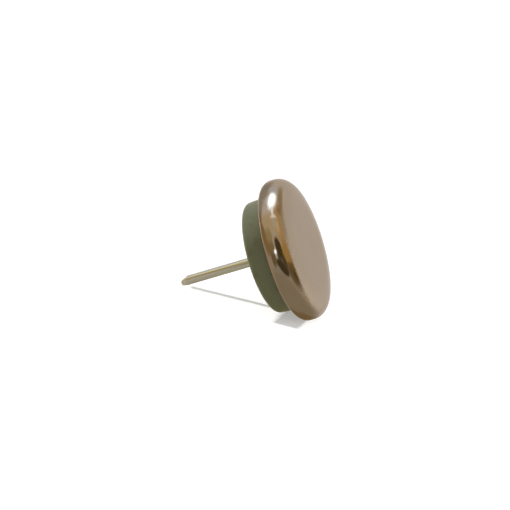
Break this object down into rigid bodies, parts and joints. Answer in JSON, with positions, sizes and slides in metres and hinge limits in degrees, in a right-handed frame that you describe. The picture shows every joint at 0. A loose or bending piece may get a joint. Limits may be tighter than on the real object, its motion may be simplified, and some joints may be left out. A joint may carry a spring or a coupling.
{
  "type": "furniture glide",
  "caption": "Nail-on furniture glide: a polished round metal cap with a rounded rim over a moulded cushion pad, with a pointed wire nail standing out of the pad's centre.",
  "frame": {"origin": "centre of the cap's face, on the surface the glide slides on", "axes": "+Z along the axis from the cap's face to the nail's tip, the way the nail is driven into the leg; X and Y are free, because the glide is round"},
  "size_m": [0.028, 0.028, 0.0267],
  "materials": {
    "cap_metal": "polished warm nickel plate on pressed steel, with fine specks",
    "pad_rubber": "moulded dark olive green, dull, with a soft sheen",
    "nail_wire": "drawn wire with a pale yellow zinc plate"
  },
  "bodies": {
    "root": {"glide_cap": "cap_metal", "cushion_pad": "pad_rubber", "nail": "nail_wire"}
  },
  "joints": []
}
